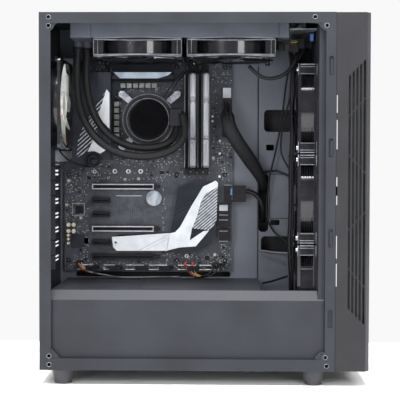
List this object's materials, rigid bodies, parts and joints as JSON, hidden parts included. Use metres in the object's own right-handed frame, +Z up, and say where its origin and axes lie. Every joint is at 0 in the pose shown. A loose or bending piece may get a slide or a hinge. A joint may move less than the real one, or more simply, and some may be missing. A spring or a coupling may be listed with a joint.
{
  "type": "desktop computer tower",
  "caption": "Mid-size desktop computer tower with an open side, liquid cooling, fans, main board and power supply on steel frames.",
  "frame": {"origin": "on the floor, under the middle of the case's outline", "axes": "+X towards the front of the computer, -Y out of the open side, +Z up"},
  "size_m": [0.437, 0.21, 0.486],
  "materials": {
    "case_steel": "fine matt powder coat",
    "panel_plastic": "fine textured moulding",
    "front_plate_finish": "satin",
    "foot_plastic": "satin",
    "screw_steel": "zinc plated",
    "board_laminate": "solder mask",
    "black_plastic": "moulded",
    "port_metal": "stamped",
    "shield_plastic": "printed stripes",
    "heatsink_black": "anodised black",
    "shield_white": "satin white",
    "spreader": "anodised",
    "cell_steel": "satin",
    "processor_steel": "plated",
    "pump_gloss": "polished",
    "bracket_steel": "plated",
    "radiator_black": "painted black",
    "coolant_rubber": "matt",
    "fan_frame_black": "glossy",
    "fan_blade": "translucent white",
    "psu_steel": "powder coat",
    "cable_sleeve": "braided",
    "filter_mesh": "mesh",
    "drive_steel": "powder coat"
  },
  "bodies": {
    "root": {"rear_wall": "case_steel", "floor_pan": "case_steel", "roof_frame": "case_steel", "front_frame": "case_steel", "motherboard_tray": "case_steel", "psu_shroud": "case_steel", "drive_cage": "drive_steel", "drive_trays": "black_plastic", "top_io_strip": "panel_plastic", "feet": "foot_plastic", "screws": "screw_steel", "slot_covers": "case_steel", "motherboard": "board_laminate", "io_ports": "port_metal", "io_cover": "shield_plastic", "vrm_heatsink": "heatsink_black", "chipset_heatsink": "heatsink_black", "m2_shield": "shield_white", "m2_drive": "board_laminate", "expansion_slots": "black_plastic", "dimm_slots": "black_plastic", "memory_modules": "spreader", "coin_cell": "cell_steel", "board_sockets": "black_plastic", "sata_ports": "black_plastic", "processor": "processor_steel", "pump_body": "pump_gloss", "pump_bracket": "bracket_steel", "radiator": "radiator_black", "coolant_tube_inner": "coolant_rubber", "coolant_tube_outer": "coolant_rubber", "rear_fan_frame": "fan_frame_black", "top_fan_frames": "fan_frame_black", "front_fan_frames": "fan_frame_black", "psu_housing": "psu_steel", "psu_inlet": "black_plastic", "front_io_board": "port_metal", "board_plugs": "black_plastic", "atx_cable": "cable_sleeve", "front_io_cable": "cable_sleeve", "usb3_cable": "cable_sleeve"},
    "rear_fan_rotor": {"rear_fan_rotor": "fan_blade"},
    "top_fan_rotor_1": {"top_fan_rotor_1": "fan_blade"},
    "top_fan_rotor_2": {"top_fan_rotor_2": "fan_blade"},
    "front_fan_rotor_1": {"front_fan_rotor_1": "fan_blade"},
    "front_fan_rotor_2": {"front_fan_rotor_2": "fan_blade"},
    "front_fan_rotor_3": {"front_fan_rotor_3": "fan_blade"},
    "psu_fan_rotor": {"psu_fan_rotor": "black_plastic"},
    "power_button": {"power_button": "panel_plastic"},
    "reset_button": {"reset_button": "panel_plastic"},
    "psu_switch": {"psu_switch": "black_plastic"},
    "right_panel": {"right_panel": "case_steel"},
    "front_panel": {"front_panel": "panel_plastic", "front_plate": "front_plate_finish"},
    "top_filter": {"top_filter": "filter_mesh"},
    "psu_filter": {"psu_filter": "filter_mesh"},
    "dimm_latch_1": {"dimm_latch_1": "black_plastic"},
    "dimm_latch_2": {"dimm_latch_2": "black_plastic"},
    "dimm_latch_3": {"dimm_latch_3": "black_plastic"},
    "dimm_latch_4": {"dimm_latch_4": "black_plastic"}
  },
  "joints": [
    {"name": "rear_fan_spin", "type": "hinge", "parent": "root", "child": "rear_fan_rotor", "pos_m": [-0.197, -0.033, 0.368], "axis": [1, 0, 0], "continuous": true},
    {"name": "top_fan_1_spin", "type": "hinge", "parent": "root", "child": "top_fan_rotor_1", "pos_m": [-0.086, 0, 0.4443], "axis": [0, 0, 1], "continuous": true},
    {"name": "top_fan_2_spin", "type": "hinge", "parent": "root", "child": "top_fan_rotor_2", "pos_m": [0.039, 0, 0.4443], "axis": [0, 0, 1], "continuous": true},
    {"name": "front_fan_1_spin", "type": "hinge", "parent": "root", "child": "front_fan_rotor_1", "pos_m": [0.1408, 0, 0.3629], "axis": [1, 0, 0], "continuous": true},
    {"name": "front_fan_2_spin", "type": "hinge", "parent": "root", "child": "front_fan_rotor_2", "pos_m": [0.1408, 0, 0.242], "axis": [1, 0, 0], "continuous": true},
    {"name": "front_fan_3_spin", "type": "hinge", "parent": "root", "child": "front_fan_rotor_3", "pos_m": [0.1408, 0, 0.1211], "axis": [1, 0, 0], "continuous": true},
    {"name": "psu_fan_spin", "type": "hinge", "parent": "root", "child": "psu_fan_rotor", "pos_m": [-0.1395, -0.01, 0.037], "axis": [0, 0, 1], "continuous": true},
    {"name": "power_button_press", "type": "slide", "parent": "root", "child": "power_button", "axis": [0, 0, -1], "range_m": [0, 0.0015], "stiffness_N_per_m": 400},
    {"name": "reset_button_press", "type": "slide", "parent": "root", "child": "reset_button", "axis": [0, 0, -1], "range_m": [0, 0.0015], "stiffness_N_per_m": 300},
    {"name": "psu_switch_rock", "type": "hinge", "parent": "root", "child": "psu_switch", "pos_m": [-0.2065, 0.0415, 0.0505], "axis": [0, -1, 0], "range_deg": [0, 16]},
    {"name": "right_panel_slide", "type": "slide", "parent": "root", "child": "right_panel", "axis": [-1, 0, 0], "range_m": [0, 0.012]},
    {"name": "front_panel_pull", "type": "slide", "parent": "root", "child": "front_panel", "axis": [1, 0, 0], "range_m": [0, 0.05]},
    {"name": "top_filter_lift", "type": "slide", "parent": "root", "child": "top_filter", "axis": [0, 0, 1], "range_m": [0, 0.04]},
    {"name": "psu_filter_slide", "type": "slide", "parent": "root", "child": "psu_filter", "axis": [-1, 0, 0], "range_m": [0, 0.14]},
    {"name": "dimm_latch_1_turn", "type": "hinge", "parent": "root", "child": "dimm_latch_1", "pos_m": [-0.0241, 0.068, 0.426], "axis": [-1, 0, 0], "range_deg": [0, 30]},
    {"name": "dimm_latch_2_turn", "type": "hinge", "parent": "root", "child": "dimm_latch_2", "pos_m": [-0.0147, 0.068, 0.426], "axis": [-1, 0, 0], "range_deg": [0, 30]},
    {"name": "dimm_latch_3_turn", "type": "hinge", "parent": "root", "child": "dimm_latch_3", "pos_m": [-0.0053, 0.068, 0.426], "axis": [-1, 0, 0], "range_deg": [0, 30]},
    {"name": "dimm_latch_4_turn", "type": "hinge", "parent": "root", "child": "dimm_latch_4", "pos_m": [0.0041, 0.068, 0.426], "axis": [-1, 0, 0], "range_deg": [0, 30]}
  ]
}
